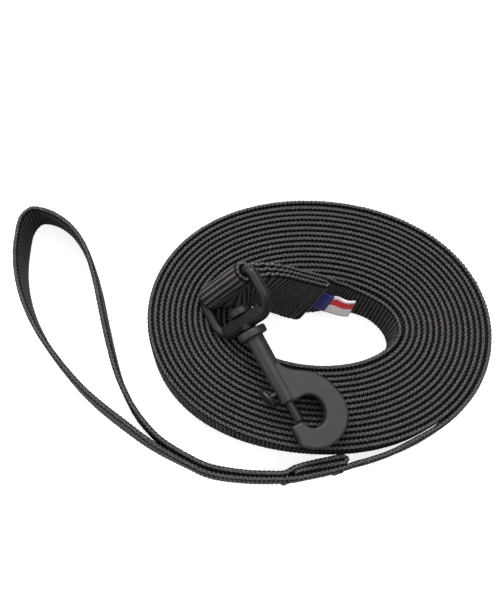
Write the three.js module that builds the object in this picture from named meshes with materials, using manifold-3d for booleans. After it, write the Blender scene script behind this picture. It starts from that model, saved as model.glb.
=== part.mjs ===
// Training leash: one flat webbing lead wound on edge into an oval coil, with a sewn handle loop at
// its outer end and a swivelling bolt snap at its inner end. Millimetres, +Z up, standing on z = 0.
import * as THREE from "three";
import { mergeVertices } from "three/addons/utils/BufferGeometryUtils.js";
import Module from "manifold-3d";

const wasm = await Module();
wasm.setup();

// ---- Driving dimensions ----

// Webbing: one inch wide, and the clearance kept between pieces that touch.
const WEB_WIDTH = 25.4;
const WEB_THICKNESS = 2.1;
const CLEARANCE = 0.3;

// Coil: its oval hole, the depth of webbing wound round it, and its turn in plan.
const HOLE_HALF_LENGTH = 35;
const HOLE_HALF_WIDTH = 18.5;
const WOUND_DEPTH = 33.6;
const COIL_TURN = -0.068;
const COIL_SEGMENTS = 96;
const STRAP_HUG = WOUND_DEPTH + CLEARANCE + 0.6 * WEB_THICKNESS;
const STRAP_RISE = -CLEARANCE - 0.75 * WEB_THICKNESS;

// How finely each strap is swept along its route.
const SAMPLES = { leadOut: 34, handle: 96, hem: 26, clasp: 50, riser: 30, tack: 2, label: 10 };

// Bolt snap, measured along its axis from the middle of the eye's bar.
const SNAP_BAR = new THREE.Vector3(-37.8, 9.1, 41.9);
const SNAP_AXIS = new THREE.Vector3(0.483, -0.862, -0.155).normalize();
const EYE_BAR_AXIS = new THREE.Vector3(0.57, 0.18, 0.8).normalize();
const HOOK_SIDE = new THREE.Vector3(0.87, 0.485, 0);
const EYE_ROD_RADIUS = 2.1;
const EYE_HALF_WIDTH = 15.5;
const EYE_BASE = 17.4;
const EYE_BAR_CORNER = 3;
const EYE_BASE_CORNER = 7;
const EYE_CORNER_STEPS = 6;
const EYE_ROD_SIDES = 18;
const BAND_HALF_WIDTH = 11.5;
const BAND_HALF_THICKNESS = 2.3;
const BAND_START = 13.3;
const BOSS_RADIUS = 2.9;
const BOSS_END = 19.6;
const CASTING_EDGE = 0.4;
const ROUND_SEGMENTS = 32;
const COLLAR_START = BOSS_END + CLEARANCE;
const COLLAR_END = 23.1;
const COLLAR_RADIUS = 5.9;
const BARREL_RADIUS = 3.6;
const BARREL_END = 51;
const BORE_RADIUS = 2.5;
const BORE_START = 26;
const BORE_END = 49.3;
const MOUTH_RADIUS = 2.05;
const RIVET_RADIUS = 1.2;
const RIVET_END = 24.4;
const RIVET_HEAD_RADIUS = 4.8;
const RIVET_HEAD_THICKNESS = 3;
const RIVET_HEAD_EDGE = 0.8;
const HOOK_THICKNESS = 6.4;
const HOOK_BEVEL = 0.75;
const HOOK_ROOT = 36;
const HOOK_ROOT_LOW = 0.6;
const HOOK_NECK = new THREE.Vector2(39.6, 3.9);
const HOOK_SHOULDER = new THREE.Vector2(43.8, 11.2);
const HOOK_BROW = new THREE.Vector2(48.4, 18);
const HOOK_CENTRE = new THREE.Vector2(60, 6);
const HOOK_RADIUS = 13;
const HOOK_END_ANGLE = -0.9;
const HOOK_SEGMENTS = 18;
const HOOK_BEVEL_STEPS = 2;
const THROAT_CENTRE = new THREE.Vector2(58.2, 5.4);
const THROAT_RADII = new THREE.Vector2(6.4, 5.3);
const THROAT_START_ANGLE = -0.72;
const TIP = new THREE.Vector2(59.8, 0.4);
const TIP_LOW = -4.2;
const BOLT_RADIUS = 1.75;
const PISTON_RADIUS = 2.2;
const PISTON_START = 38.5;
const PISTON_END = 48.9;
const STUD_X = 46.2;
const STUD_RADIUS = 1.1;
const STUD_FOOT = 1.2;
const SLOT_HALF_WIDTH = 1.45;
const BOLT_TRAVEL = 8.5;
const BUTTON_RADIUS = 4.5;
const BUTTON_THICKNESS = 2.6;
const BUTTON_EDGE = 0.6;
const BUTTON_DOME = 1;
const BUTTON_TOP_RADIUS = 1.4;
const BUTTON_REACH = 7;
const BUTTON_TILT = 0.26;
const SPRING_COILS = 8;
const SPRING_RADIUS = 1.9;
const SPRING_WIRE = 0.25;
const SPRING_STEPS = 10;
const SPRING_SIDES = 3;

// Sewn pieces.
const TACK_THICKNESS = 0.6;
const TACK_LENGTH = 2.4;
const TACK_WIDTH = 22;
const CLASP_TACK_SETBACK = 4;
const NECK_LEAN = -0.07;
const NECK_SLOPE = 0.12;
const LABEL_THICKNESS = 0.8;
const LABEL_WIDTH = 10.2;

// ---- Finishes ----

const finish = (color, roughness, metalness) =>
  new THREE.MeshStandardMaterial({ color, roughness, metalness });
const webbingFinish = () => finish(0x17171a, 0.85, 0);
const threadFinish = () => finish(0x101013, 0.75, 0);
const labelFinish = () => finish(0x1a2a78, 0.8, 0);
const snapFinish = () => finish(0x2b2a2e, 0.5, 0.6);
const springFinish = () => finish(0x9a9da0, 0.35, 1);

// ---- Shared shapes ----

const vector = (x, y, z) => new THREE.Vector3(x, y, z);

// A point of the coil's oval family: the hole's ellipse, moved out by offset along its normal.
function ovalPoint(degrees, offset) {
  const angle = THREE.MathUtils.degToRad(degrees);
  const point = new THREE.Vector2(HOLE_HALF_LENGTH * Math.cos(angle), HOLE_HALF_WIDTH * Math.sin(angle));
  const normal = new THREE.Vector2(HOLE_HALF_WIDTH * Math.cos(angle), HOLE_HALF_LENGTH * Math.sin(angle));
  return point.addScaledVector(normal.normalize(), offset).rotateAround(new THREE.Vector2(), COIL_TURN);
}

// A station of a strap that stands on the ground on edge: where its lower edge is and how it leans.
function standing(x, y, leanY = 0) {
  const width = vector(0, leanY, 1).normalize();
  const centre = vector(x, y, 0).addScaledVector(width, WEB_WIDTH / 2);
  centre.z += (WEB_THICKNESS / 2) * Math.abs(width.y);
  return [centre, width];
}

// A flat strap swept through stations, each a centre and the direction of the strap's width.
function strapGeometry(stations, samples, width = WEB_WIDTH, thickness = WEB_THICKNESS) {
  const centres = new THREE.CatmullRomCurve3(stations.map(([centre]) => centre), false, "centripetal");
  const widths = new THREE.CatmullRomCurve3(stations.map(([, across]) => across), false, "centripetal");
  const positions = [];
  const index = [];
  for (let i = 0; i <= samples; i++) {
    const centre = centres.getPoint(i / samples);
    const along = centres.getTangent(i / samples);
    const across = widths.getPoint(i / samples);
    across.addScaledVector(along, -across.dot(along)).normalize();
    const normal = across.clone().cross(along);
    for (const [n, w] of [[-1, -1], [1, -1], [1, 1], [-1, 1]]) {
      const corner = centre.clone().addScaledVector(normal, (n * thickness) / 2);
      positions.push(...corner.addScaledVector(across, (w * width) / 2));
    }
  }
  for (let i = 0; i < samples; i++) {
    for (let side = 0; side < 4; side++) {
      const a = 4 * i + side;
      const b = 4 * i + ((side + 1) % 4);
      index.push(a, b, b + 4, a, b + 4, a + 4);
    }
  }
  const last = 4 * samples;
  index.push(0, 2, 1, 0, 3, 2, last, last + 1, last + 2, last, last + 2, last + 3);
  return indexedGeometry(positions, index);
}

// A round rod swept round a closed loop of points in the XY plane.
function loopGeometry(points, radius, sides) {
  const positions = [];
  const index = [];
  const count = points.length;
  for (let i = 0; i < count; i++) {
    const ahead = points[(i + 1) % count].clone().sub(points[(i + count - 1) % count]).normalize();
    const outward = vector(ahead.y, -ahead.x, 0);
    for (let side = 0; side < sides; side++) {
      const angle = (2 * Math.PI * side) / sides;
      const point = vector(points[i].x, points[i].y, radius * Math.sin(angle));
      positions.push(...point.addScaledVector(outward, radius * Math.cos(angle)));
    }
  }
  for (let i = 0; i < count; i++) {
    for (let side = 0; side < sides; side++) {
      const next = (side + 1) % sides;
      const [a, b] = [i * sides + side, i * sides + next];
      const [c, d] = [((i + 1) % count) * sides + next, ((i + 1) % count) * sides + side];
      index.push(a, c, b, a, d, c);
    }
  }
  return indexedGeometry(positions, index);
}

function indexedGeometry(positions, index) {
  const geometry = new THREE.BufferGeometry();
  geometry.setAttribute("position", new THREE.Float32BufferAttribute(positions, 3));
  geometry.setIndex(index);
  geometry.computeVertexNormals();
  return geometry;
}

// A body of revolution about +X, from [x, radius] points that start and end on the axis.
function turned(profile) {
  const points = profile.map(([x, radius]) => new THREE.Vector2(radius, x));
  return new THREE.LatheGeometry(points, ROUND_SEGMENTS).rotateZ(-Math.PI / 2);
}

// A round bar about +X, from one x to another.
function plug(start, end, radius) {
  return turned([[start, 0], [start, radius], [end, radius], [end, 0]]);
}

// ---- Joining and cutting ----

function toSolid(geometry) {
  const bare = new THREE.BufferGeometry();
  bare.setAttribute("position", geometry.attributes.position);
  bare.setIndex(geometry.index);
  const merged = mergeVertices(bare, 1e-4);
  const corners = merged.index.array;
  const triVerts = [];
  for (let i = 0; i < corners.length; i += 3) {
    const [a, b, c] = [corners[i], corners[i + 1], corners[i + 2]];
    if (a !== b && b !== c && c !== a) triVerts.push(a, b, c);
  }
  const vertProperties = merged.attributes.position.array;
  const mesh = new wasm.Mesh({ numProp: 3, vertProperties, triVerts: new Uint32Array(triVerts) });
  return new wasm.Manifold(mesh);
}

function toGeometry(solid) {
  const mesh = solid.getMesh();
  return indexedGeometry(Array.from(mesh.vertProperties), Array.from(mesh.triVerts));
}

// ---- Webbing ----

// The wound turns, as one solid of their outer shape.
function coilGeometry() {
  const outline = (offset) =>
    Array.from({ length: COIL_SEGMENTS }, (_, i) => ovalPoint((360 * i) / COIL_SEGMENTS, offset));
  const ring = new THREE.Shape(outline(WOUND_DEPTH));
  ring.holes.push(new THREE.Path(outline(0)));
  return new THREE.ExtrudeGeometry(ring, { depth: WEB_WIDTH, bevelEnabled: false });
}

// The last stretch before the handle, round the front right of the coil.
function leadOutGeometry() {
  const stations = [
    standing(-12.9, -61.55, NECK_LEAN),
    standing(-5.6, -60.75, NECK_LEAN),
    standing(2.6, -59.3, -0.06),
    standing(8.4, -58.5, -0.04),
    standing(18, -54.6, -0.04),
    standing(28, -51.1, -0.04),
  ];
  for (const degrees of [-43, -36, -28, -20]) {
    const point = ovalPoint(degrees, STRAP_HUG);
    stations.push(standing(point.x, point.y));
  }
  return strapGeometry(stations, SAMPLES.leadOut);
}

// The handle: out along the neck, round the loop and back along the coil's side of the neck.
function handleGeometry() {
  const route = [
    [-13.4, -61.6, -0.07], [-29, -61.1, -0.07], [-43, -59.1, -0.07], [-52, -55.2, -0.07],
    [-65.6, -48.5, -0.03], [-75.6, -42, 0], [-92.2, -29, 0], [-104.7, -15.5, 0], [-113.8, -3, 0],
    [-120.4, 10.5, 0], [-123.8, 24, 0], [-124.2, 37, -0.06], [-122.6, 47.5, -0.13],
    [-118.8, 51.8, -0.16], [-112.8, 51.2, -0.17], [-106, 47, -0.15], [-100, 39.5, -0.08],
    [-95, 29, 0], [-91.2, 17.5, 0], [-87.8, 4, 0], [-84.4, -9, 0], [-80.2, -22, 0], [-74, -34.2, 0],
    [-68.9, -40.6, -0.02], [-62.6, -46.3, -0.05], [-51, -52.95, -0.07], [-43, -56.3, -0.07],
    [-29, -58.6, -0.07], [-17.5, -58.9, -0.07], [-13.6, -58, -0.07], [-10.4, -56.5, -0.06],
    [-4, -55.25, -0.045], [2.6, -54, -0.03],
  ];
  return strapGeometry(route.map((stop) => standing(...stop)), SAMPLES.handle);
}

// The webbing's end, folded back round a nose and laid between the two straps of the neck.
function hemGeometry() {
  const route = [
    [3.1, -53.9, -0.03], [7, -53.65, -0.03], [8.7, -54.85, -0.03], [7, -56.05, -0.03],
    [2.6, -56.45, -0.035], [-4, -57.8, -0.05], [-10.4, -59.05, -0.06],
  ];
  return strapGeometry(route.map((stop) => standing(...stop)), SAMPLES.hem);
}

// The doubled strap at the clasp: its middle line from the eye's bar to the cut end.
const DOUBLED = [
  [SNAP_BAR, EYE_BAR_AXIS, 3.5],
  [vector(-34.5, 9.3, 39.1), vector(0.565, 0.18, 0.81), 2.9],
  [vector(-25, 10.8, 38.2), vector(0.46, 0.2, 0.86), 1.45],
  [vector(-12.9, 11.2, 29.2), vector(0.4, 0.25, 0.88), 1.35],
  [vector(-3.4, 11.3, 21.4), vector(0.42, 0.3, 0.857), 1.45],
];

// A stop of the doubled strap: its middle, its width, and the directions along it and out of it.
function doubledStop(number) {
  const [middle, width, spread] = DOUBLED[number];
  const before = DOUBLED[Math.max(number - 1, 0)][0];
  const after = DOUBLED[Math.min(number + 1, DOUBLED.length - 1)][0];
  const along = after.clone().sub(before);
  const across = width.clone().normalize();
  along.addScaledVector(across, -along.dot(across)).normalize();
  const outward = across.clone().cross(along);
  return { middle, across, along, outward, spread };
}

// One layer's station there, on the near side (-1) or the far side (+1).
function layerStation(number, side) {
  const { middle, across, outward, spread } = doubledStop(number);
  return [middle.clone().addScaledVector(outward, side * spread), across];
}

// The bight round the eye's bar, with its two layers running back to the cut end.
function claspStrapGeometry() {
  const stations = [];
  for (let number = DOUBLED.length - 1; number >= 0; number--) stations.push(layerStation(number, -1));
  const { middle, across, along, outward, spread } = doubledStop(0);
  for (const degrees of [45, 90, 135]) {
    const angle = THREE.MathUtils.degToRad(degrees);
    const point = middle.clone().addScaledVector(outward, -spread * Math.cos(angle));
    stations.push([point.addScaledVector(along, -spread * Math.sin(angle)), across]);
  }
  for (let number = 0; number < DOUBLED.length; number++) stations.push(layerStation(number, 1));
  return strapGeometry(stations, SAMPLES.clasp);
}

// The webbing's inner end, climbing from the hole's wall to the doubled strap.
function riserGeometry() {
  const [start, across] = layerStation(DOUBLED.length - 1, 1);
  const { along } = doubledStop(DOUBLED.length - 1);
  const stations = [
    [start.clone().addScaledVector(along, WEB_THICKNESS), across],
    [vector(2.4, 13.4, 16.6), vector(0.3, 0.22, 0.93)],
    [vector(11, 14.2, 13.8), vector(0.1, 0.08, 0.99)],
  ];
  for (const degrees of [48, 32, 16, 2]) {
    const point = ovalPoint(degrees, STRAP_RISE);
    const [centre, upright] = standing(point.x, point.y);
    stations.push([centre.setZ(centre.z + CLEARANCE), upright]);
  }
  return strapGeometry(stations, SAMPLES.riser);
}

// A bar of stitches across a strap's face, from its centre, its width and the way the face looks.
function tackGeometry(centre, across, outward) {
  const along = across.clone().cross(outward).normalize();
  const stations = [-0.5, 0, 0.5].map((step) => [
    centre.clone().addScaledVector(along, step * TACK_LENGTH),
    across,
  ]);
  return strapGeometry(stations, SAMPLES.tack, TACK_WIDTH, TACK_THICKNESS);
}

const TACK_LIFT = (WEB_THICKNESS + TACK_THICKNESS) / 2 + CLEARANCE;

// A bar tack on the neck's outer face.
function neckTackGeometry(x, y) {
  const [centre, across] = standing(x, y, NECK_LEAN);
  const outward = vector(NECK_SLOPE, -1, NECK_LEAN).normalize();
  return tackGeometry(centre.addScaledVector(outward, TACK_LIFT), across, outward);
}

// The bar tack just behind the doubled strap's cut end.
function claspTackGeometry() {
  const { middle, across, along, outward, spread } = doubledStop(DOUBLED.length - 1);
  const near = outward.clone().negate();
  const centre = middle.clone().addScaledVector(near, spread + TACK_LIFT + CLEARANCE);
  return tackGeometry(centre.addScaledVector(along, -CLASP_TACK_SETBACK), across, near);
}

// The folded woven label, held in the doubled strap's end.
function labelGeometry() {
  const across = vector(0.42, 0.3, 0.857);
  const route = [[-2.4, 11.1, 20], [3, 10.4, 18], [9.5, 9.4, 16.2], [15.6, 8.6, 15.2]];
  const stations = route.map((centre) => [vector(...centre), across]);
  return strapGeometry(stations, SAMPLES.label, LABEL_WIDTH, LABEL_THICKNESS);
}

// ---- Bolt snap, in its own frame: +X along its axis from the eye's bar ----

// The rounded rectangle that the eye's rod follows.
function eyeOutline() {
  const [bar, base, half] = [EYE_BAR_CORNER, EYE_BASE_CORNER, EYE_HALF_WIDTH];
  const outline = new THREE.Path();
  outline.moveTo(0, -half + bar);
  outline.lineTo(0, half - bar);
  outline.absarc(bar, half - bar, bar, Math.PI, Math.PI / 2, true);
  outline.lineTo(EYE_BASE - base, half);
  outline.absarc(EYE_BASE - base, half - base, base, Math.PI / 2, 0, true);
  outline.lineTo(EYE_BASE, -half + base);
  outline.absarc(EYE_BASE - base, -half + base, base, 0, -Math.PI / 2, true);
  outline.lineTo(bar, -half);
  outline.absarc(bar, -half + bar, bar, -Math.PI / 2, -Math.PI, true);
  const apart = (point, other) => point.distanceTo(other) > CLEARANCE;
  const points = outline
    .getPoints(EYE_CORNER_STEPS)
    .filter((point, i, all) => i === 0 || apart(point, all[i - 1]));
  if (!apart(points[0], points[points.length - 1])) points.pop();
  return points;
}

// The swivel eye: a ring of rod with a flat band across its base, bored for the rivet.
function eyeGeometry() {
  const ring = toSolid(loopGeometry(eyeOutline(), EYE_ROD_RADIUS, EYE_ROD_SIDES));
  const length = EYE_BASE - BAND_START;
  const band = toSolid(new THREE.BoxGeometry(length, 2 * BAND_HALF_WIDTH, 2 * BAND_HALF_THICKNESS)
    .translate(BAND_START + length / 2, 0, 0));
  const boss = toSolid(turned([
    [EYE_BASE, 0], [EYE_BASE, BOSS_RADIUS], [BOSS_END - CASTING_EDGE, BOSS_RADIUS],
    [BOSS_END, BOSS_RADIUS - CASTING_EDGE], [BOSS_END, 0],
  ]));
  const bore = toSolid(plug(BAND_START - 1, BOSS_END + 1, RIVET_RADIUS + CLEARANCE));
  return toGeometry(ring.add(band).add(boss).subtract(bore));
}

// The rivet that the eye turns on, headed inside the eye and held in the snap's collar.
function rivetGeometry() {
  const headEnd = BAND_START - CLEARANCE;
  const headStart = headEnd - RIVET_HEAD_THICKNESS;
  return turned([
    [headStart, 0], [headStart, RIVET_HEAD_RADIUS - RIVET_HEAD_EDGE],
    [headStart + RIVET_HEAD_EDGE, RIVET_HEAD_RADIUS],
    [headEnd, RIVET_HEAD_RADIUS], [headEnd, RIVET_RADIUS], [RIVET_END, RIVET_RADIUS], [RIVET_END, 0],
  ]);
}

// The hook's flat outline, from the barrel's side round the belly to the tip and back by the throat.
function hookShape() {
  const hook = new THREE.Shape();
  hook.moveTo(HOOK_ROOT, HOOK_ROOT_LOW);
  hook.lineTo(HOOK_ROOT, BARREL_RADIUS - CLEARANCE);
  hook.quadraticCurveTo(HOOK_NECK.x, HOOK_NECK.y, HOOK_SHOULDER.x, HOOK_SHOULDER.y);
  hook.quadraticCurveTo(HOOK_BROW.x, HOOK_BROW.y, HOOK_CENTRE.x, HOOK_CENTRE.y + HOOK_RADIUS);
  hook.absarc(HOOK_CENTRE.x, HOOK_CENTRE.y, HOOK_RADIUS, Math.PI / 2, HOOK_END_ANGLE, true);
  hook.lineTo(TIP.x, TIP_LOW);
  hook.lineTo(TIP.x, TIP.y);
  hook.absellipse(
    THROAT_CENTRE.x, THROAT_CENTRE.y, THROAT_RADII.x, THROAT_RADII.y, THROAT_START_ANGLE, Math.PI, false,
  );
  hook.lineTo(THROAT_CENTRE.x - THROAT_RADII.x, HOOK_ROOT_LOW);
  return hook;
}

// Barrel, collar and hook in one casting, bored for the bolt and slotted for its stud.
function snapBodyGeometry() {
  const barrel = toSolid(turned([
    [COLLAR_START, 0], [COLLAR_START, COLLAR_RADIUS - CASTING_EDGE],
    [COLLAR_START + CASTING_EDGE, COLLAR_RADIUS], [COLLAR_END - CASTING_EDGE, COLLAR_RADIUS],
    [COLLAR_END, COLLAR_RADIUS - CASTING_EDGE], [COLLAR_END, BARREL_RADIUS],
    [BARREL_END - CASTING_EDGE, BARREL_RADIUS], [BARREL_END, BARREL_RADIUS - CASTING_EDGE],
    [BARREL_END, 0],
  ]));
  const plate = new THREE.ExtrudeGeometry(hookShape(), {
    depth: HOOK_THICKNESS - 2 * HOOK_BEVEL,
    bevelThickness: HOOK_BEVEL,
    bevelSize: HOOK_BEVEL,
    bevelOffset: -HOOK_BEVEL,
    bevelSegments: HOOK_BEVEL_STEPS,
    curveSegments: HOOK_SEGMENTS,
  }).translate(0, 0, HOOK_BEVEL - HOOK_THICKNESS / 2);
  const bore = toSolid(plug(BORE_START, BORE_END, BORE_RADIUS));
  const mouth = toSolid(plug(BORE_END - 1, TIP.x - CLEARANCE, MOUTH_RADIUS));
  const socket = toSolid(plug(COLLAR_START - 1, RIVET_END + CLEARANCE, RIVET_RADIUS + CLEARANCE));
  const slotStart = STUD_X - BOLT_TRAVEL - SLOT_HALF_WIDTH;
  const slotLength = BOLT_TRAVEL + 2 * SLOT_HALF_WIDTH;
  const slot = new THREE.BoxGeometry(slotLength, BARREL_RADIUS + 1, 2 * SLOT_HALF_WIDTH)
    .translate(slotStart + slotLength / 2, -(BARREL_RADIUS + 1) / 2, 0);
  const casting = barrel.add(toSolid(plate));
  return toGeometry(casting.subtract(bore).subtract(mouth).subtract(socket).subtract(toSolid(slot)));
}

// The sliding bolt: a piston in the bore and a rod that closes the throat.
function boltGeometry() {
  const end = TIP.x - CLEARANCE;
  const rod = toSolid(turned([
    [PISTON_START, 0], [PISTON_START, PISTON_RADIUS], [PISTON_END, PISTON_RADIUS],
    [PISTON_END, BOLT_RADIUS], [end - CLEARANCE, BOLT_RADIUS], [end, BOLT_RADIUS - CLEARANCE], [end, 0],
  ]));
  const hole = studShape(STUD_FOOT, PISTON_RADIUS + 1, STUD_RADIUS + CLEARANCE);
  return toGeometry(rod.subtract(toSolid(hole)));
}

// A round pin about the stud's axis, from one reach out of the snap's axis to another.
function studShape(start, end, radius) {
  return plug(start, end, radius).rotateZ(-Math.PI / 2).translate(STUD_X, 0, 0);
}

// The thumb button, leaning towards the hook, and the stud that carries it through the slot.
function thumbStudGeometry() {
  const half = BUTTON_THICKNESS / 2;
  const button = turned([
    [-half, 0], [-half, BUTTON_RADIUS - BUTTON_EDGE], [-half + BUTTON_EDGE, BUTTON_RADIUS],
    [half - BUTTON_DOME, BUTTON_RADIUS], [half - BUTTON_DOME / 3, BUTTON_RADIUS - 2.5 * BUTTON_EDGE],
    [half, BUTTON_TOP_RADIUS], [half, 0],
  ]).rotateZ(BUTTON_TILT - Math.PI / 2).translate(STUD_X, -BUTTON_REACH, 0);
  const stud = studShape(STUD_FOOT + CLEARANCE, BUTTON_REACH, STUD_RADIUS);
  return toGeometry(toSolid(button).add(toSolid(stud)));
}

class SpringCurve extends THREE.Curve {
  getPoint(t, target = new THREE.Vector3()) {
    const start = BORE_START + 2 * SPRING_WIRE;
    const end = PISTON_START - 2 * SPRING_WIRE;
    const angle = 2 * Math.PI * SPRING_COILS * t;
    const x = start + (end - start) * t;
    return target.set(x, SPRING_RADIUS * Math.cos(angle), SPRING_RADIUS * Math.sin(angle));
  }
}

// The return spring, between the bore's blind end and the piston.
function springGeometry() {
  const wire = new THREE.Shape().absarc(0, 0, SPRING_WIRE, 0, 2 * Math.PI, false);
  return new THREE.ExtrudeGeometry(wire, {
    steps: SPRING_COILS * SPRING_STEPS,
    curveSegments: SPRING_SIDES,
    bevelEnabled: false,
    extrudePath: new SpringCurve(),
  });
}

// ---- Assembly ----

function addPiece(group, name, geometry, material) {
  const mesh = new THREE.Mesh(geometry, material);
  mesh.name = name;
  group.add(mesh);
}

// A group at the eye's bar whose +X is the snap's axis and whose +Y lies towards side.
function snapFrame(side) {
  const y = side.clone().addScaledVector(SNAP_AXIS, -side.dot(SNAP_AXIS)).normalize();
  const z = SNAP_AXIS.clone().cross(y);
  const group = new THREE.Group();
  group.position.copy(SNAP_BAR);
  group.quaternion.setFromRotationMatrix(new THREE.Matrix4().makeBasis(SNAP_AXIS, y, z));
  return group;
}

const leash = new THREE.Group();
addPiece(leash, "webbing_coil", coilGeometry(), webbingFinish());
addPiece(leash, "lead_out_strap", leadOutGeometry(), webbingFinish());
addPiece(leash, "handle_loop", handleGeometry(), webbingFinish());
addPiece(leash, "handle_hem", hemGeometry(), webbingFinish());
addPiece(leash, "handle_tack_loop_end", neckTackGeometry(-15.2, -61.6), threadFinish());
addPiece(leash, "handle_tack_nose_end", neckTackGeometry(4.6, -59.05), threadFinish());
addPiece(leash, "riser_strap", riserGeometry(), webbingFinish());
addPiece(leash, "clasp_strap", claspStrapGeometry(), webbingFinish());
addPiece(leash, "clasp_tack", claspTackGeometry(), threadFinish());
addPiece(leash, "woven_label", labelGeometry(), labelFinish());

const eye = snapFrame(EYE_BAR_AXIS);
addPiece(eye, "swivel_eye", eyeGeometry(), snapFinish());

const snap = snapFrame(HOOK_SIDE);
addPiece(snap, "snap_body", snapBodyGeometry(), snapFinish());
addPiece(snap, "swivel_rivet", rivetGeometry(), snapFinish());
addPiece(snap, "bolt", boltGeometry(), snapFinish());
addPiece(snap, "thumb_stud", thumbStudGeometry(), snapFinish());
addPiece(snap, "bolt_spring", springGeometry(), springFinish());
leash.add(eye, snap);

// The origin is the middle of the leash's footprint.
const extent = new THREE.Box3().setFromObject(leash, true);
const middle = extent.getCenter(new THREE.Vector3());
leash.position.set(-middle.x, -middle.y, -extent.min.z);

const part = new THREE.Group();
part.add(leash);
part.updateMatrixWorld(true);

export default part;
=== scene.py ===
"""Looks of the training leash: ribbed webbing wound on edge, its sewn handle and label, and a black
bolt snap, on a pale studio floor. Lengths are millimetres until a mesh is made, then metres."""

import math

import bpy
import numpy as np
from mathutils import Matrix, Vector


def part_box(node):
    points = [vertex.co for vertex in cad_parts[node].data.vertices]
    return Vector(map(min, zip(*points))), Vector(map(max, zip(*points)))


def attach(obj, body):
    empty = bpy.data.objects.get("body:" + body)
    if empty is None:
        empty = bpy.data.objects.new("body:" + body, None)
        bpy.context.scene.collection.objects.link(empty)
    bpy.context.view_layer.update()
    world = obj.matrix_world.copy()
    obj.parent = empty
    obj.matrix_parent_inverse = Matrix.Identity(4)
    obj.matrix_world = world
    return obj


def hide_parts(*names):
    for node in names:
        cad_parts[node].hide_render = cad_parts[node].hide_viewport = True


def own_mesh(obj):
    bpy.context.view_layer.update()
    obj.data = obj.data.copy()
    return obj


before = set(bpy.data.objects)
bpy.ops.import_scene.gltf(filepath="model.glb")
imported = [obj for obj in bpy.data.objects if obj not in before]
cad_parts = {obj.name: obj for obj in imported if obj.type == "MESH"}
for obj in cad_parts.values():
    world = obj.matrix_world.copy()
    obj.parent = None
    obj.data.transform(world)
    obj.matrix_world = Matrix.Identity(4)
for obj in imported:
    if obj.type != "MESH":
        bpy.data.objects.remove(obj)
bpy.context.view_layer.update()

MM = 0.001
SEED = 7

# ---- Driving dimensions, as in the CAD ----

WEB_WIDTH = 25.4
WEB_THICKNESS = 2.1
CLEARANCE = 0.3
HOLE_HALF_LENGTH = 35.0
HOLE_HALF_WIDTH = 18.5
WOUND_DEPTH = 33.6
COIL_TURN = -0.068
SNAP_BAR = (-37.8, 9.1, 41.9)
SNAP_AXIS = (0.483, -0.862, -0.155)
EYE_BAR_AXIS = (0.57, 0.18, 0.8)

# Weave: the pitch and height of its ribs, the height of the beads on its two selvages, the rings of
# mesh to a rib, and half the thickness of the cloth under the ribs.
RIB_PITCH = 1.74
RIB_HEIGHT = 0.3
BEAD_HEIGHT = 0.62
STEPS_PER_RIB = 4
HALF_BODY = 1.06

# The webbing's section, up one face, over the edge, down the other face and back. Each row has a
# place across the width, a share of the half thickness, and the shares of the ribs and the beads.
EDGE = WEB_WIDTH / 2
HALF_SECTION = [
    (-EDGE + 1.5, 0.95, 0.8, 0.0), (-EDGE / 2, 1.0, 1.0, 0.0), (0.0, 1.0, 1.0, 0.0),
    (EDGE / 2, 1.0, 1.0, 0.0), (EDGE - 1.5, 0.95, 0.8, 0.0),
    (EDGE - 0.5, 0.68, 0.2, 0.8), (EDGE, 0.0, 0.0, 1.0), (EDGE - 0.5, -0.68, 0.2, 0.8),
]
SECTION = HALF_SECTION + [(-place, -side, rib, bead) for place, side, rib, bead in HALF_SECTION]
SECTION_LINE = np.array([(place, HALF_BODY * side) for place, side, *_ in SECTION + SECTION[:1]])
SECTION_SIDES = np.linalg.norm(np.diff(SECTION_LINE, axis=0), axis=1)
GIRTH = np.concatenate([[0], np.cumsum(SECTION_SIDES)])
EDGE_MIDDLE = GIRTH[len(HALF_SECTION) - 2]

# The coil's own frame: its centre on the ground, in millimetres of the row frame.
low, high = (np.array(corner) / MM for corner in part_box("webbing_coil"))
COIL = np.array([(low[0] + high[0]) / 2, (low[1] + high[1]) / 2, low[2]])

random = np.random.default_rng(SEED)


# ---- Vectors, curves and meshes ----

# A tube has this many sides, laid out from a direction that none of the tubes runs along.
TUBE_SIDES = 7
TUBE_REFERENCE = (0.31, 0.52, 0.79)


def unit(vector):
    vector = np.asarray(vector, float)
    return vector / np.linalg.norm(vector, axis=-1, keepdims=True)


def smooth_noise(x, waves, longest, shortest, depth):
    """A sum of sine waves of seeded length and phase along x, with a swing of about ±depth."""
    total = np.zeros_like(np.asarray(x, float))
    for _ in range(waves):
        length = random.uniform(shortest, longest)
        total += np.sin(2 * math.pi * (x / length + random.uniform()))
    return depth * total / math.sqrt(waves)


def spline(stations, steps):
    """A centripetal Catmull-Rom curve through the rows of stations, with steps samples a span."""
    rows = np.asarray(stations, float)
    rows = np.vstack([2 * rows[0] - rows[1], rows, 2 * rows[-1] - rows[-2]])
    gaps = np.sqrt(np.linalg.norm(np.diff(rows[:, :3], axis=0), axis=1))[:, None]
    before, start, end, after = rows[:-3], rows[1:-2], rows[2:-1], rows[3:]
    gap_0, gap_1, gap_2 = gaps[:-2], gaps[1:-1], gaps[2:]
    slope_1 = gap_1 * (
        (start - before) / gap_0 - (end - before) / (gap_0 + gap_1) + (end - start) / gap_1
    )
    slope_2 = gap_1 * (
        (end - start) / gap_1 - (after - start) / (gap_1 + gap_2) + (after - end) / gap_2
    )
    t = (np.arange(steps) / steps)[None, :, None]
    a, b, m, n = (x[:, None, :] for x in (start, end, slope_1, slope_2))
    curve = (
        (2 * t**3 - 3 * t**2 + 1) * a
        + (t**3 - 2 * t**2 + t) * m
        + (3 * t**2 - 2 * t**3) * b
        + (t**3 - t**2) * n
    )
    return np.vstack([curve.reshape(-1, rows.shape[1]), rows[-2:-1]])


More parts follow.
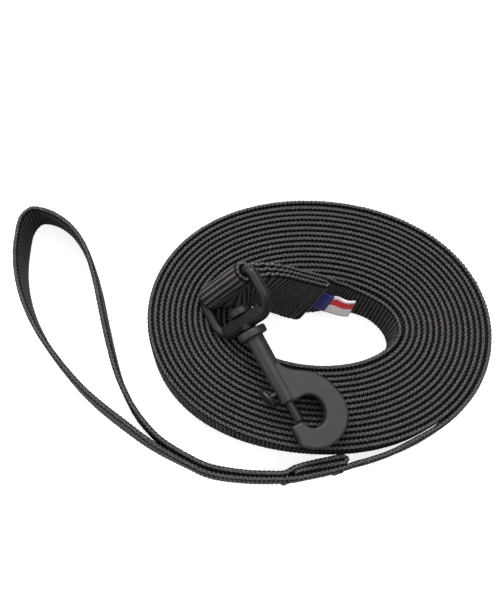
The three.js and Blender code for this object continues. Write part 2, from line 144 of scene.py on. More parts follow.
def resampled(rows, step):
    """The rows at equal steps of length along their first three columns, and each row's length."""
    along = np.concatenate([[0], np.cumsum(np.linalg.norm(np.diff(rows[:, :3], axis=0), axis=1))])
    count = int(round(along[-1] / step))
    lengths = np.linspace(0, along[-1], count + 1)
    columns = [np.interp(lengths, along, rows[:, i]) for i in range(rows.shape[1])]
    return np.stack(columns, axis=1), lengths


def mesh_piece(name, points, faces, body, material):
    """A smooth-shaded mesh piece from points in millimetres of the row frame, riding on a body."""
    mesh = bpy.data.meshes.new(name)
    mesh.from_pydata((np.asarray(points) * MM).tolist(), [], faces)
    mesh.update()
    mesh.polygons.foreach_set("use_smooth", [True] * len(mesh.polygons))
    piece = bpy.data.objects.new(name, mesh)
    bpy.context.scene.collection.objects.link(piece)
    piece.data.materials.append(material)
    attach(piece, body)
    return piece


def ring_faces(rings, around):
    """Quads between rings of points, and a cap on each end."""
    first = np.arange(rings - 1)[:, None] * around + np.arange(around)[None, :]
    second = np.arange(rings - 1)[:, None] * around + (np.arange(around)[None, :] + 1) % around
    quads = np.stack([first, second, second + around, first + around], axis=2).reshape(-1, 4)
    last = (rings - 1) * around
    caps = [list(range(around))[::-1], list(range(last, last + around))]
    return quads.tolist() + caps


def tube(path, radius):
    """Points and faces of a thin tube along a path of points."""
    path = np.asarray(path, float)
    along = unit(np.gradient(path, axis=0))
    side = unit(np.cross(along, TUBE_REFERENCE))
    over = np.cross(along, side)
    angles = (2 * math.pi * np.arange(TUBE_SIDES) / TUBE_SIDES)[None, :, None]
    circle = np.cos(angles) * side[:, None, :] + np.sin(angles) * over[:, None, :]
    rings = path[:, None, :] + radius * circle
    return rings.reshape(-1, 3), ring_faces(len(path), TUBE_SIDES)


# ---- Materials ----

# The look of the weave, in millimetres: the yarns to a millimetre of a face, and on a selvage the
# loops' radius, how sharply they stand out, their place in a rib, their slant and the selvage's reach.
YARNS = 1.9
LOOP_RADIUS = 0.55
LOOP_SHARPNESS = 1.7
LOOP_PLACE = 0.65
LOOP_SLANT = 0.45
SELVAGE_REACH = 1.9

# Noise scales, in waves a metre.
BLOTCH = 60.0
MOTTLE = 240.0
WORN = 900.0
FIBRE = 2100.0
GRAIN = 2600.0
DRAWN = 3800.0
TWIST = 5200.0

# The label's stripe, from its lower to its upper edge, and its blue end, as shares of its size. Its
# cloth shows this many threads each way.
STRIPE = (0.50, 0.86)
BLUE_END = 0.47
WEFTS = 34.0
WARPS = 60.0


class Nodes:
    """A material's node tree, with a method for each kind of node that the materials below use."""

    def __init__(self, name):
        self.material = bpy.data.materials.new(name)
        self.material.use_nodes = True
        self.tree = self.material.node_tree
        self.shader = self.tree.nodes["Principled BSDF"]

    def add(self, kind, links=(), **settings):
        node = self.tree.nodes.new(kind)
        for key, value in settings.items():
            setattr(node, key, value)
        for socket, source in dict(links).items():
            self.link(source, node.inputs[socket])
        return node

    def link(self, source, target):
        if isinstance(source, (int, float, tuple)):
            target.default_value = source
        else:
            self.tree.links.new(source, target)

    def maths(self, operation, *values):
        node = self.add("ShaderNodeMath", operation=operation)
        for i, value in enumerate(values):
            self.link(value, node.inputs[i])
        return node.outputs[0]

    def noise(self, vector, scale, detail=3.0, roughness=0.6):
        links = {"Vector": vector, "Scale": scale, "Detail": detail, "Roughness": roughness}
        return self.add("ShaderNodeTexNoise", links).outputs["Fac"]

    def ramp(self, value, stops):
        """A colour ramp through (place, grey or colour) stops."""
        node = self.add("ShaderNodeValToRGB", {"Fac": value})
        points = node.color_ramp.elements
        while len(points) < len(stops):
            points.new(0.5)
        for point, (place, colour) in zip(points, stops):
            point.position = place
            rgb = (colour,) * 3 if isinstance(colour, (int, float)) else colour
            point.color = (*rgb, 1)
        return node.outputs["Color"]

    def mixed(self, share, first, second, blend="MIX"):
        node = self.add("ShaderNodeMix", data_type="RGBA", blend_type=blend)
        self.link(share, node.inputs["Factor"])
        self.link(first if not isinstance(first, tuple) else (*first, 1), node.inputs[6])
        self.link(second if not isinstance(second, tuple) else (*second, 1), node.inputs[7])
        return node.outputs[2]

    def bump(self, height, distance):
        links = {"Height": height, "Distance": distance, "Strength": 1.0}
        return self.add("ShaderNodeBump", links).outputs["Normal"]

    def set(self, **sockets):
        for name, value in sockets.items():
            self.link(value, self.shader.inputs[name.replace("_", " ")])
        return self.material


def webbing_material():
    """Black nylon webbing: yarns over raised ribs, looped selvages, a warmer black in places, and
    painted highlights on its crests with painted shade in its valleys.
    """
    made = Nodes("black_webbing")
    weave = made.add("ShaderNodeUVMap", uv_map="weave").outputs["UV"]
    parts = made.add("ShaderNodeSeparateXYZ", {"Vector": weave})
    ribs, girth = parts.outputs["X"], parts.outputs["Y"]
    place = made.add("ShaderNodeTexCoord").outputs["Object"]
    fibre = made.noise(place, FIBRE, 3.0, 0.7)
    blotch = made.noise(place, BLOTCH, 2.0)
    # Faces: strands side by side across the width, over ribs.
    strand = made.maths("PINGPONG", made.maths("MULTIPLY", girth, YARNS), 0.5)
    rib = made.maths("PINGPONG", ribs, 0.5)
    yarn_height, rib_height = made.maths("MULTIPLY", strand, 0.5), made.maths("MULTIPLY", rib, 1.6)
    face = made.maths("ADD", yarn_height, rib_height)
    # Selvages: a chain of loops, one to a rib, each a slanted ring about a hole that the colour paints
    # dark as shade.
    quarter = float(GIRTH[-1] / 4)
    off = made.maths("SUBTRACT", girth, float(EDGE_MIDDLE))
    off = made.maths("WRAP", off, quarter, -quarter)
    step = made.maths("ADD", made.maths("FRACT", ribs), made.maths("MULTIPLY", fibre, 0.3))
    step = made.maths("MULTIPLY", made.maths("SUBTRACT", step, LOOP_PLACE), RIB_PITCH)
    slanted = made.maths("ADD", step, made.maths("MULTIPLY", off, LOOP_SLANT))
    square = made.maths("ADD", made.maths("POWER", slanted, 2.0), made.maths("POWER", off, 2.0))
    radius = made.maths("SQRT", square)
    loop = made.maths("ABSOLUTE", made.maths("SUBTRACT", radius, LOOP_RADIUS))
    loop = made.maths("SUBTRACT", 1.0, made.maths("MULTIPLY", loop, LOOP_SHARPNESS))
    edge = made.maths("SUBTRACT", SELVAGE_REACH, made.maths("ABSOLUTE", off))
    edge = made.add("ShaderNodeClamp", {"Value": edge}).outputs[0]
    height = made.add("ShaderNodeMix", data_type="FLOAT")
    made.link(edge, height.inputs["Factor"])
    made.link(face, height.inputs[2])
    made.link(loop, height.inputs[3])
    height = height.outputs[0]
    # Painted light: the crest value sets the colour, so rib crests, bead tops and fibre specks get
    # painted highlights and the valleys and loop holes get painted shade.
    crest = made.maths("ADD", made.maths("MULTIPLY", height, 0.6), made.maths("MULTIPLY", fibre, 0.6))
    # Selvage colour: near black in the loop holes as painted shade, up to pale grey on the bead tops as
    # painted highlight.
    bead_highlight_and_shade = made.ramp(crest, [
        (0.34, (0.0008, 0.0008, 0.0010)), (0.52, (0.011, 0.0109, 0.0118)),
        (0.74, (0.050, 0.049, 0.052)), (1.0, (0.27, 0.265, 0.27)),
    ])
    # Face colour: near black between the ribs as painted shade, up to grey on the rib crests as painted
    # highlight.
    faces = made.ramp(crest, [
        (0.36, (0.0008, 0.0008, 0.0009)), (0.60, (0.015, 0.0140, 0.0142)),
        (0.90, (0.130, 0.122, 0.120)),
    ])
    base = made.mixed(edge, faces, bead_highlight_and_shade)
    warm = made.ramp(blotch, [(0.45, 0.0), (0.75, 0.5)])
    colour = made.mixed(warm, base, (1.25, 1.0, 0.92), "MULTIPLY")
    rough = made.ramp(crest, [(0.35, 0.85), (0.75, 0.5)])
    height = made.maths("ADD", height, made.maths("MULTIPLY", fibre, 0.6))
    return made.set(
        Base_Color=colour, Roughness=rough, Specular_IOR_Level=0.16, Sheen_Weight=0.02,
        Sheen_Roughness=0.4, Normal=made.bump(height, 0.00040),
    )


def thread_material():
    """Black sewing thread with a twist."""
    made = Nodes("black_thread")
    place = made.add("ShaderNodeTexCoord").outputs["Object"]
    twist = made.noise(place, TWIST, 2.0)
    colour = made.ramp(twist, [(0.35, (0.006, 0.006, 0.007)), (0.7, (0.04, 0.039, 0.041))])
    return made.set(
        Base_Color=colour, Roughness=made.ramp(twist, [(0.3, 0.4), (0.7, 0.62)]),
        Sheen_Weight=0.1, Normal=made.bump(twist, 0.00008),
    )


def label_material():
    """A woven label in plain blocks: a blue end, and a red stripe on a pale ground."""
    made = Nodes("woven_label")
    weave = made.add("ShaderNodeUVMap", uv_map="weave").outputs["UV"]
    parts = made.add("ShaderNodeSeparateXYZ", {"Vector": weave})
    along, across = parts.outputs["X"], parts.outputs["Y"]
    pale, red, blue = (1.0, 0.90, 0.94), (0.86, 0.006, 0.018), (0.006, 0.010, 0.20)
    above = made.maths("GREATER_THAN", across, STRIPE[0])
    below = made.maths("LESS_THAN", across, STRIPE[1])
    colour = made.mixed(made.maths("MULTIPLY", above, below), pale, red)
    colour = made.mixed(made.maths("LESS_THAN", along, BLUE_END), colour, blue)
    weft = made.maths("PINGPONG", made.maths("MULTIPLY", across, WEFTS), 0.5)
    warp = made.maths("PINGPONG", made.maths("MULTIPLY", along, WARPS), 0.5)
    cloth = made.maths("ADD", weft, warp)
    worn = made.noise(made.add("ShaderNodeTexCoord").outputs["Object"], WORN, 3.0)
    colour = made.mixed(0.2, colour, made.ramp(cloth, [(0.1, 0.6), (0.8, 1.0)]), "MULTIPLY")
    colour = made.mixed(0.2, colour, made.ramp(worn, [(0.3, 0.7), (0.6, 1.0)]), "MULTIPLY")
    return made.set(
        Base_Color=colour, Roughness=made.ramp(worn, [(0.3, 0.55), (0.7, 0.8)]),
        Sheen_Weight=0.25, Normal=made.bump(cloth, 0.00006),
    )


def casting_material(name, shade, roughness):
    """Black satin coating on a zinc casting: fine grain, soft mottling and paler worn edges."""
    made = Nodes(name)
    place = made.add("ShaderNodeTexCoord").outputs["Object"]
    grain = made.noise(place, GRAIN, 3.0, 0.65)
    mottle = made.noise(place, MOTTLE, 3.0)
    pointed = made.add("ShaderNodeNewGeometry").outputs["Pointiness"]
    edge = made.ramp(pointed, [(0.52, 0.0), (0.62, 1.0)])
    wear = made.maths("MULTIPLY", edge, made.ramp(mottle, [(0.4, 0.0), (0.62, 1.0)]))
    dark = tuple(0.72 * channel for channel in shade)
    pale = tuple(2.1 * channel for channel in shade)
    colour = made.mixed(made.ramp(mottle, [(0.3, 0.0), (0.7, 1.0)]), dark, shade)
    colour = made.mixed(made.maths("MULTIPLY", wear, 0.5), colour, pale)
    rough = made.ramp(grain, [(0.3, roughness - 0.06), (0.7, roughness + 0.08)])
    grained, mottled = made.maths("MULTIPLY", grain, 0.5), made.maths("MULTIPLY", mottle, 0.6)
    height = made.maths("ADD", grained, mottled)
    return made.set(
        Base_Color=colour, Roughness=rough, Metallic=0.15, Specular_IOR_Level=0.4,
        Normal=made.bump(height, 0.00006),
    )


def steel_material():
    """Drawn spring wire with faint lines along it."""
    made = Nodes("spring_steel")
    place = made.add("ShaderNodeTexCoord").outputs["Object"]
    drawn = made.noise(place, DRAWN, 2.0)
    return made.set(
        Base_Color=made.ramp(drawn, [(0.3, 0.24), (0.7, 0.5)]), Metallic=1.0,
        Roughness=made.ramp(drawn, [(0.3, 0.25), (0.7, 0.42)]), Normal=made.bump(drawn, 0.00004),
    )


def floor_material():
    """Matt white paper, burnt out to white where the camera sees it."""
    made = Nodes("paper")
    seen = made.maths("MULTIPLY", made.add("ShaderNodeLightPath").outputs["Is Camera Ray"], 0.8)
    place = made.add("ShaderNodeTexCoord").outputs["Object"]
    tooth = made.noise(place, WORN, 4.0)
    return made.set(
        Base_Color=made.ramp(tooth, [(0.3, 0.60), (0.7, 0.63)]),
        Roughness=made.ramp(tooth, [(0.3, 0.85), (0.7, 0.95)]), Normal=made.bump(tooth, 0.00002),
        Emission_Color=(1.0, 1.0, 1.0, 1.0), Emission_Strength=seen, Specular_IOR_Level=0.0,
    )


# ---- The webbing's route, from its end in the neck to its end at the clasp ----


def standing(x, y, lean=0.0):
    """A station of webbing that stands on edge on the ground: its centre, then across its width."""
    width = unit((0, lean, 1))
    centre = np.array([x, y, 0]) + width * WEB_WIDTH / 2
    centre[2] += abs(width[1]) * WEB_THICKNESS / 2
    return [*centre, *width]


def oval_point(degrees, offset):
    """A point of the coil's ovals: the hole's ellipse, moved out by offset along its normal."""
    angle = math.radians(degrees)
    point = np.array([HOLE_HALF_LENGTH * math.cos(angle), HOLE_HALF_WIDTH * math.sin(angle)])
    normal = unit((HOLE_HALF_WIDTH * math.cos(angle), HOLE_HALF_LENGTH * math.sin(angle)))
    x, y = point + offset * normal
    c, s = math.cos(COIL_TURN), math.sin(COIL_TURN)
    return c * x - s * y, s * x + c * y


# The strap outside the coil, in millimetres from the coil's centre: x and y on the ground, and how far
# it leans in y. The hem lies inside the neck and leans with it. The neck's front also runs at a slope.
NECK_LEAN = -0.07
NECK_SLOPE = 0.12
HEM = [
    (6.1, -52.8), (8.4, -52.5), (9.75, -53.6), (8.5, -54.8), (6.4, -55.2), (2, -56), (-2.4, -56.75),
    (-6.8, -57.6), (-10.8, -58.8),
]
HANDLE = [
    (-15.7, -61.15, -0.07), (-29, -61, -0.07), (-43, -59.1, -0.07), (-52, -55.2, -0.07),
    (-65.6, -48.5, -0.03), (-75.6, -42, 0), (-92.2, -29, 0), (-104.7, -15.5, 0), (-113.8, -3, 0),
    (-120.4, 10.5, 0), (-123.8, 24, 0), (-124.2, 37, -0.06), (-122.6, 47.5, -0.13),
    (-118.8, 51.8, -0.16), (-112.8, 51.2, -0.17), (-106, 47, -0.15), (-100, 39.5, -0.08),
    (-95, 29, 0), (-91.2, 17.5, 0), (-87.8, 4, 0), (-84.4, -9, 0), (-80.2, -22, 0), (-74, -34.2, 0),
    (-68.9, -40.6, -0.02), (-62.6, -46.3, -0.05), (-51, -52.95, -0.07), (-43, -56.4, -0.07),
    (-29, -58.7, -0.07), (-20, -59, -0.07), (-14.8, -58.9, -0.07), (-12.6, -58.2, -0.07),
    (-10.4, -56.9, -0.07), (-6.8, -55.7, -0.07), (-2.4, -54.6, -0.07), (2, -53.7, -0.07),
]
LEAD_OUT = [
    (-9.1, -60.65, -0.07), (-4.7, -59.8, -0.07), (-0.3, -58.9, -0.07), (4.2, -57.9, -0.07),
    (8.6, -56.8, -0.07), (14, -55, -0.07), (20, -53.5, -0.06), (28, -50.9, -0.05),
]

# Where the strap joins the coil and leaves it, in degrees round the coil's ovals.
LEAD_OUT_DEGREES = (-43, -36, -28)
RISER_DEGREES = (16, 32, 48)

# The inner end's climb, as centres and directions across the width. Then the doubled strap, from the
# eye's bar: its middle, its direction across and half the distance between its layers' middles.
RISER = [((11, 14.2, 13.8), (0.1, 0.08, 0.99)), ((2.4, 13.4, 16.6), (0.3, 0.22, 0.93))]
DOUBLED = [
    (SNAP_BAR, EYE_BAR_AXIS, 3.5),
    ((-34.5, 9.3, 39.1), (0.565, 0.18, 0.81), 2.7),
    ((-25, 10.8, 38.2), (0.46, 0.2, 0.86), 2.1),
    ((-12.9, 11.2, 29.2), (0.4, 0.25, 0.88), 2.1),
    ((-3.4, 11.3, 21.4), (0.42, 0.3, 0.857), 2.1),
]

# The fold of the strap's cut end: how far it reaches past the last stop, and its places between the
# layers' middle (0) and the near layer (-1).
FOLD_REACH = 1.2
FOLD_PLACES = (-0.95, -0.5, -0.05)

# Winding: where it starts and ends, and each side's first row and step inward from row to row.
WIND_START = -20
WIND_END = 5402
QUARTER = 90
OUTER_ROWS = {0: 35.3, 1: 34.6, 2: 33.05, 3: 32.6}
SECOND_ROWS = {0: 32.75, 1: 31.85, 2: 30.8, 3: 30.4}
INNER_ROWS = {0: 1.1, 1: 1.1, 2: 1.1, 3: 1.0}
INNER_GAPS = {0: 2.45, 1: 2.4, 2: 2.25, 3: 2.5}
ROWS = 15
WIND_STEP = 5
FRONT_LEAN = 0.09
JOIN_OFFSET = WOUND_DEPTH + CLEARANCE + 0.6 * WEB_THICKNESS
RISE_OFFSET = -CLEARANCE - 0.75 * WEB_THICKNESS

# The rows' steps are eased by a mean of these shifts, in degrees. Each turn then strays a little
# sideways, rises off the ground and leans.
EASING = (-30, -15, 0, 15, 30)
STRAY = 0.03
LIFT = 0.22
LIFT_STRAY = 0.13
LEAN_STRAY = 0.006


def wound_offset(degrees):
    """How far the webbing's middle lies out from the hole's oval, after turning that far inward."""
    knots, offsets = [WIND_START], [JOIN_OFFSET]
    for quarter in range(4 * ROWS):
        row, side = divmod(quarter, 4)
        share = (row - 1) / (ROWS - 3)
        last = INNER_ROWS[side] + INNER_GAPS[side]
        offset = SECOND_ROWS[side] + share * (last - SECOND_ROWS[side])
        if row == 0:
            offset = OUTER_ROWS[side]
        if row == ROWS - 1:
            offset = INNER_ROWS[side]
        knots.append(quarter * QUARTER)
        offsets.append(offset)
    knots.append(WIND_END)
    offsets.append(RISE_OFFSET)
    return np.interp(degrees, knots, offsets)


def wound_stations():
    """The coil's turns, from the outside in."""
    degrees = np.arange(WIND_START, WIND_END, WIND_STEP, dtype=float)
    near = [wound_offset(degrees + shift) for shift in EASING]
    offsets = np.mean(near, axis=0) + smooth_noise(degrees, 5, 500, 90, STRAY)
    lifts = LIFT + smooth_noise(degrees, 6, 700, 110, LIFT_STRAY)
    front = np.maximum(-np.sin(np.radians(degrees)), 0) ** 2
    leans = FRONT_LEAN * front * offsets / WOUND_DEPTH + smooth_noise(degrees, 4, 900, 200, LEAN_STRAY)
    stations = []
    for angle, offset, lift, lean in zip(degrees, offsets, lifts, leans):
        x, y = oval_point(angle, offset - lean * WEB_WIDTH / 2)
        out = unit((x, y, 0))
        width = unit((lean * out[0], lean * out[1], 1))
        stations.append([x, y, WEB_WIDTH / 2 + max(lift, 0), *width])
    return stations


def doubled_stop(number):
    """A stop of the doubled strap: its middle, its directions across, along and outward, its spread."""
    middle, width, spread = DOUBLED[number]
    before = DOUBLED[max(number - 1, 0)][0]
    after = DOUBLED[min(number + 1, len(DOUBLED) - 1)][0]
    across = unit(width)
    along = np.subtract(after, before)
    along = unit(along - across * (along @ across))
    return np.array(middle, float), across, along, np.cross(across, along), spread


def layer_station(number, side):
    """A station of one layer of the doubled strap: far (1), near (-1), or folded in between (0)."""
    middle, across, _, outward, spread = doubled_stop(number)
    return [*(middle + side * spread * outward), *across]


def clasp_stations():
    """Up the far layer, round the eye's bar, down the near layer, then back between the two."""
    stations = [layer_station(number, 1) for number in reversed(range(len(DOUBLED)))]
    middle, across, along, outward, spread = doubled_stop(0)
    for degrees in (135, 90, 45):
        angle = math.radians(degrees)
        point = middle - spread * (math.cos(angle) * outward + math.sin(angle) * along)
        stations.append([*point, *across])
    stations += [layer_station(number, -1) for number in range(len(DOUBLED))]
    middle, across, along, outward, spread = doubled_stop(len(DOUBLED) - 1)
    for reach, side in zip((FOLD_REACH, FOLD_REACH + spread / 2, FOLD_REACH), FOLD_PLACES):
        stations.append([*(middle + reach * along + side * spread * outward), *across])
    return stations + [layer_station(number, 0) for number in reversed(range(1, len(DOUBLED)))]


def webbing_stations():
    """The whole route, from the hem's cut end to the clasp's."""
    stations = [standing(x, y, NECK_LEAN) for x, y in reversed(HEM)]
    stations += [standing(*stop) for stop in reversed(HANDLE)]
    stations += [standing(*stop) for stop in LEAD_OUT]
    stations += [standing(*oval_point(degrees, JOIN_OFFSET)) for degrees in LEAD_OUT_DEGREES]
    stations += wound_stations()
    for degrees in RISER_DEGREES:
        x, y = oval_point(degrees, RISE_OFFSET)
        stations.append([x, y, WEB_WIDTH / 2 + CLEARANCE, 0, 0, 1])
    stations += [[*centre, *unit(width)] for centre, width in RISER]
    return stations + clasp_stations()


# ---- The webbing ----

SPLINE_STEPS = 12

# The ribs and beads: how flat-topped they are, how far they dip under the mean surface, and how much
# they differ in size. A bead also stands out over the faces by a share of its height.
CREST_POWER = 0.8
CREST_DIP = 0.6
RIB_SPREAD = 0.25
BEAD_SPREAD = 0.3
BEAD_OVERHANG = 0.8


def webbing_rows():
    """The route at equal steps: centres, directions across and outward, and lengths from the hem."""
    rows, lengths = resampled(spline(webbing_stations(), SPLINE_STEPS), RIB_PITCH / STEPS_PER_RIB)
    centres, across = rows[:, :3], rows[:, 3:6]
    along = unit(np.gradient(centres, axis=0))
    across = unit(across - along * np.sum(across * along, axis=1)[:, None])
    return centres, across, np.cross(across, along), lengths


def weave_coordinates(piece, ribs):
    """The weave's coordinates: ribs counted along the webbing, and millimetres round its section."""
    start = np.meshgrid(ribs[:-1], GIRTH[:-1], indexing="ij")
    end = np.meshgrid(ribs[1:], GIRTH[1:], indexing="ij")
    corners = [(start[0], start[1]), (start[0], end[1]), (end[0], end[1]), (end[0], start[1])]
    quads = np.stack([np.stack(corner, axis=-1) for corner in corners], axis=2).reshape(-1, 2)
    caps = [(rib, girth) for rib in (ribs[0], ribs[-1]) for girth in GIRTH[:-1]]
    layer = piece.data.uv_layers.new(name="weave")
    layer.data.foreach_set("uv", np.vstack([quads, caps]).astype(np.float32).ravel())


def build_webbing():
    """The whole leash as one length of webbing, from the hem's cut end to the clasp's."""
    centres, across, outward, lengths = webbing_rows()
    ribs = lengths / RIB_PITCH
    crest = np.abs(np.sin(math.pi * ribs)) ** CREST_POWER - CREST_DIP
    bead = np.abs(np.cos(math.pi * ribs)) ** CREST_POWER - CREST_DIP
    count = int(ribs[-1]) + 2
    rib_size = 1 + RIB_SPREAD * random.standard_normal((count, 2))
    bead_size = 1 + BEAD_SPREAD * random.standard_normal((count, 2))
    number = ribs.astype(int)
    shifted = np.minimum((ribs + 0.5).astype(int), count - 1)
    rings = np.empty((len(centres), len(SECTION), 3))
    for i, (place, side, rib_share, bead_share) in enumerate(SECTION):
        face, edge = int(side < 0), int(place < 0)
        rib = RIB_HEIGHT * crest * rib_size[number, face] * rib_share
        knot = BEAD_HEIGHT * bead * bead_size[shifted, edge] * bead_share
        depth = HALF_BODY * side + np.sign(side) * (rib + BEAD_OVERHANG * knot)
        reach = place + np.sign(place) * knot
        rings[:, i] = centres + depth[:, None] * outward + reach[:, None] * across
    faces = ring_faces(len(centres), len(SECTION))
    piece = mesh_piece("webbing", rings.reshape(-1, 3) + COIL, faces, "webbing", webbing_look)
    weave_coordinates(piece, ribs)
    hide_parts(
        "webbing_coil", "lead_out_strap", "handle_loop",
        "handle_hem", "riser_strap", "clasp_strap",
    )
    return piece


webbing_look = webbing_material()
thread_look = thread_material()
webbing = build_webbing()


# ---- Stitching ----

STITCHES = 24
STITCH_SPAN = 21.0
STITCH_REACH = 1.1
THREAD_RADIUS = 0.24
TACK_ARC = 5
STITCH_STRAY = 0.12
STITCH_RISE = 2.2
STITCH_SINK = 0.6

# The neck's two tacks, by x and y on the front strap, and the clasp's, back from the strap's last stop.
NECK_TACKS = {"handle_tack_loop_end": (-13.1, -61.15), "handle_tack_nose_end": (7.6, -57.05)}
CLASP_TACK_BACK = 4
TACK_LIFT = WEB_THICKNESS / 2 + 0.05


def bar_tack(centre, across, outward):
    """A dense zigzag of thread over a strap's face: each stitch arches from one hole to the next."""
    along = unit(np.cross(across, outward))
    path = []
    for stitch in range(STITCHES):
        start = -STITCH_SPAN / 2 + STITCH_SPAN * stitch / STITCHES
        side = -1 if stitch % 2 else 1
        jitter = random.uniform(-STITCH_STRAY, STITCH_STRAY, 2)
        for step in range(TACK_ARC):
            t = step / TACK_ARC
            rise = THREAD_RADIUS * (STITCH_RISE * math.sin(math.pi * t) - STITCH_SINK)
            reach = side * STITCH_REACH * (1 - 2 * t) + jitter[0] * (1 - t) + jitter[1] * t
            place = start + STITCH_SPAN * t / STITCHES
            path.append(centre + place * across + reach * along + rise * outward)
    return tube(path, THREAD_RADIUS)


def tack_piece(node, points, faces):
    piece = mesh_piece(node + "_thread", points + COIL, faces, "webbing", thread_look)
    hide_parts(node)


def build_tacks():
    outward = unit((NECK_SLOPE, -1, NECK_LEAN))
    for name, (x, y) in NECK_TACKS.items():
        station = np.array(standing(x, y, NECK_LEAN))
        points, faces = bar_tack(station[:3] + TACK_LIFT * outward, station[3:], outward)
        tack_piece(name, points, faces)
    middle, across, along, out, spread = doubled_stop(len(DOUBLED) - 1)
    centre = middle - (spread + TACK_LIFT) * out - CLASP_TACK_BACK * along
    points, faces = bar_tack(centre, across, -out)
    tack_piece("clasp_tack", points, faces)


build_tacks()


# ---- Label ----

LABEL = [(-2.4, 12.2, 20), (3, 10.9, 18), (9.5, 9.4, 16.2), (15.6, 8.6, 15.2)]
LABEL_ACROSS = (0.42, 0.3, 0.857)
LABEL_WIDTH = 10.2
LABEL_CLOTH = 0.32
LABEL_STEP = 0.4
LABEL_COLUMNS = 14

# The ripple along it, which grows over the first millimetres and is deeper towards one edge, and how
# far the two layers open, less so next to the fold.
RIPPLE = 0.35
RIPPLE_LENGTH = 9.0
RIPPLE_GROWTH = 6.0
LABEL_OPENING = 1.3
FOLD_OPENING = 0.6


def build_label():
    """The label: one strip folded back on itself, its fold at the free end, gently rippled."""
    rows, lengths = resampled(spline(LABEL, SPLINE_STEPS), LABEL_STEP)
    along = unit(np.gradient(rows, axis=0))
    across = unit(LABEL_ACROSS - along * (along @ np.array(LABEL_ACROSS))[:, None])
    outward = np.cross(across, along)
    ripple = RIPPLE * np.sin(2 * math.pi * lengths / RIPPLE_LENGTH)
    ripple *= np.minimum(lengths / RIPPLE_GROWTH, 1)
    grid, coords = [], []
    side_spread = 0.5 * LABEL_CLOTH * LABEL_OPENING
    ways = [(i, -1) for i in range(len(rows))] + [(i, 1) for i in reversed(range(len(rows)))]
    for i, side in ways:
        for column in range(LABEL_COLUMNS + 1):
            v = column / LABEL_COLUMNS
            wave = ripple[i] * (0.4 + 0.9 * v)
            open_up = side_spread * (1.0 if i < len(rows) - 2 else FOLD_OPENING)
            place = rows[i] + (v - 0.5) * LABEL_WIDTH * across[i]
            grid.append(place + (wave + side * open_up) * outward[i])
            coords.append((lengths[i] / lengths[-1], v))
    wide = LABEL_COLUMNS + 1
    faces = [
        [r * wide + c, r * wide + c + 1, (r + 1) * wide + c + 1, (r + 1) * wide + c]
        for r in range(len(ways) - 1)
        for c in range(LABEL_COLUMNS)
    ]
    piece = mesh_piece("label_strip", np.array(grid) + COIL, faces, "webbing", label_material())
    layer = piece.data.uv_layers.new(name="weave")
    corners = np.empty(len(piece.data.loops), int)
    piece.data.loops.foreach_get("vertex_index", corners)
    layer.data.foreach_set("uv", np.array(coords)[corners].astype(np.float32).ravel())
    thick = piece.modifiers.new("cloth", "SOLIDIFY")
    thick.thickness = LABEL_CLOTH * MM
    thick.offset = 0
    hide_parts("woven_label")
    return piece


label = build_label()


# ---- Bolt snap: the CAD's castings with softened edges and their finishes ----

# The spring, by its distance along the snap from the eye's bar.
SPRING_COILS = 8
SPRING_STEPS = 20
SPRING_START = 26.5
SPRING_END = 38.0
SPRING_RADIUS = 1.9
SPRING_WIRE = 0.25


def soften(node, voxel, smoothing):
    """Rounds a casting's edges: an even mesh of small faces, relaxed a little."""
    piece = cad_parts[node]
    remesh = piece.modifiers.new("even", "REMESH")
    remesh.mode = "VOXEL"
    remesh.voxel_size = voxel * MM
    remesh.use_smooth_shade = True
    relax = piece.modifiers.new("relax", "SMOOTH")
    relax.factor = 0.5
    relax.iterations = smoothing


def finish_node(node, material):
    """Gives a node of the CAD its material."""
    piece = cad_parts[node]
    piece.data.materials.clear()
    piece.data.materials.append(material)


def build_snap():
    # The eye and the rod parts (bolt, thumb stud, rivet) have the body's black coating. Their darker
    # shades are painted shade.
    coated = casting_material("black_coated_zinc", (0.022, 0.0208, 0.0226), 0.46)
    eye_painted_shade_look = casting_material("black_coated_eye_painted_shade", (0.0045, 0.0045, 0.0055), 0.42)
    rod_painted_shade_look = casting_material("black_coated_rod_painted_shade", (0.009, 0.0088, 0.010), 0.42)
    for node, look, voxel, smoothing in (
        ("snap_body", coated, 0.22, 5),
        ("swivel_eye", eye_painted_shade_look, 0.2, 3),
        ("bolt", rod_painted_shade_look, 0.15, 2),
        ("thumb_stud", rod_painted_shade_look, 0.15, 3),
        ("swivel_rivet", rod_painted_shade_look, 0.15, 3),
    ):
        finish_node(node, look)
        soften(node, voxel, smoothing)


def build_spring():
    """The return spring, a helix of wire about the snap's axis."""
    turns = np.linspace(0, SPRING_COILS, SPRING_COILS * SPRING_STEPS + 1)
    along, side = unit(SNAP_AXIS), unit(np.cross(SNAP_AXIS, (0, 0, 1)))
    over = np.cross(along, side)
    start = np.array(SNAP_BAR) + SPRING_START * along
    rise = (SPRING_END - SPRING_START) * turns / SPRING_COILS
    angles = (2 * math.pi * turns)[:, None]
    circle = SPRING_RADIUS * (np.cos(angles) * side + np.sin(angles) * over)
    points, faces = tube(start + rise[:, None] * along + circle, SPRING_WIRE)
    piece = mesh_piece("return_spring", points + COIL, faces, "snap", steel_material())
    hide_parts("bolt_spring")
    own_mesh(piece)


build_snap()
build_spring()


# ---- Studio ----

# The camera's place and target are millimetres from the coil's centre. The floor's half side is in
# metres, and it lies a little low, to keep the selvage's beads out of the paper.
CAMERA_PLACE = (-42.33, -100.92, 353.17)
CAMERA_TARGET = (-26.54, 18.97, 0.0)
CAMERA_LENS = 51.7
SENSOR = 36.0
FLOOR_HALF = 4.0
FLOOR_DROP = 0.4

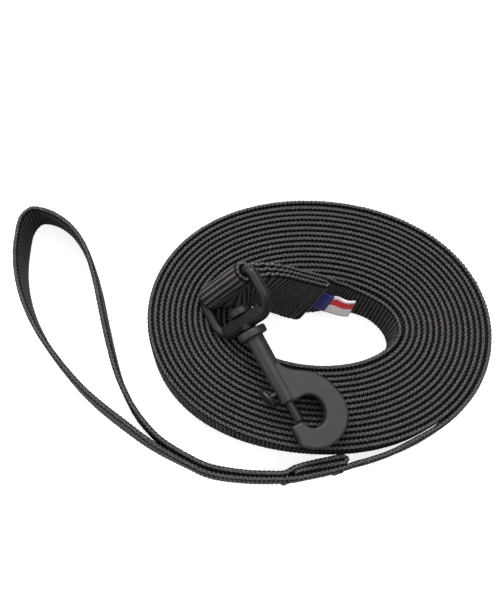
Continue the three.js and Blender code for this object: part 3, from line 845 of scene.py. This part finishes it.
# Lights: place, size, power and colour. They aim at the coil, this far above the floor.
LIGHTS = {
    "key_light": ((-0.35, 0.75, 1.1), (0.9, 0.6), 20, (1.0, 0.985, 0.97)),
    "top_light": ((0.25, 0.05, 1.3), (1.3, 1.1), 13, (1, 1, 1)),
    "side_light": ((-1.2, -0.25, 0.7), (0.6, 0.8), 8, (0.96, 0.97, 1.0)),
}
LIGHT_AIM = 0.02
WORLD_LIGHT = 0.28


def build_floor():
    mesh = bpy.data.meshes.new("floor")
    h = FLOOR_HALF
    mesh.from_pydata([(-h, -h, 0), (h, -h, 0), (h, h, 0), (-h, h, 0)], [], [(0, 1, 2, 3)])
    floor = bpy.data.objects.new("floor", mesh)
    bpy.context.scene.collection.objects.link(floor)
    floor.data.materials.append(floor_material())
    floor.location.z = -FLOOR_DROP * MM


def aim(thing, place, target):
    """Puts a camera or a light at a place, pointing at a target, with the row frame's y upward."""
    back = Vector(place) - Vector(target)
    thing.location = place
    side = Vector((0, 1, 0)).cross(back).normalized()
    over = back.cross(side).normalized()
    thing.rotation_mode = "QUATERNION"
    thing.rotation_quaternion = Matrix((side, over, back.normalized())).transposed().to_quaternion()


def soft_light(name, place, size, power, colour):
    lamp = bpy.data.lights.new(name, "AREA")
    lamp.shape = "RECTANGLE"
    lamp.size, lamp.size_y = size
    lamp.energy = power
    lamp.color = colour
    light = bpy.data.objects.new(name, lamp)
    bpy.context.scene.collection.objects.link(light)
    aim(light, place, tuple(COIL[:2] * MM) + (LIGHT_AIM,))


def build_studio():
    build_floor()
    for name, settings in LIGHTS.items():
        soft_light(name, *settings)
    world = bpy.data.worlds.new("studio")
    world.use_nodes = True
    background = world.node_tree.nodes["Background"]
    background.inputs["Color"].default_value = (1, 1, 1, 1)
    background.inputs["Strength"].default_value = WORLD_LIGHT
    bpy.context.scene.world = world
    bpy.context.scene.view_settings.view_transform = "Standard"


def build_camera():
    data = bpy.data.cameras.new("camera")
    data.lens, data.sensor_width = CAMERA_LENS, SENSOR
    data.clip_start, data.clip_end = 0.01, 20
    camera = bpy.data.objects.new("camera", data)
    bpy.context.scene.collection.objects.link(camera)
    place = tuple((np.array(CAMERA_PLACE) + COIL) * MM)
    target = tuple((np.array(CAMERA_TARGET) + COIL) * MM)
    aim(camera, place, target)
    bpy.context.scene.camera = camera


build_studio()
build_camera()
